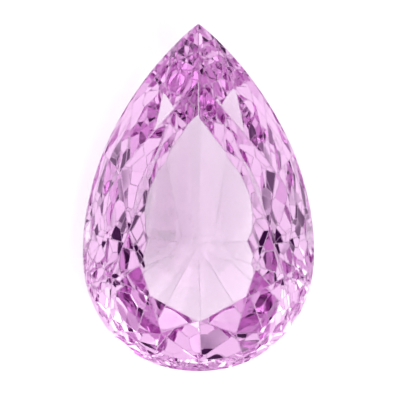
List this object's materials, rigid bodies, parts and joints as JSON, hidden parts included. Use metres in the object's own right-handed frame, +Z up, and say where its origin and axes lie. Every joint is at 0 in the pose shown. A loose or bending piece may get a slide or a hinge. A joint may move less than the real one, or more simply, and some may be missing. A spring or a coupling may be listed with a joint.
{
  "type": "faceted gemstone",
  "caption": "Pear-cut pale lilac kunzite, clear and faceted all over, lying loose on one facet of its underside with its table tilted up.",
  "frame": {"origin": "centre of the lying stone's footprint box, on the surface that it rests on", "axes": "+Z up, -Z out of the facet that the stone rests on, +Y horizontal along the stone's length towards its pointed tip"},
  "size_m": [0.0126, 0.0208, 0.011],
  "materials": {
    "kunzite": "polished, clear and colourless to pale lilac"
  },
  "bodies": {
    "root": {"kunzite": "kunzite"}
  },
  "joints": []
}
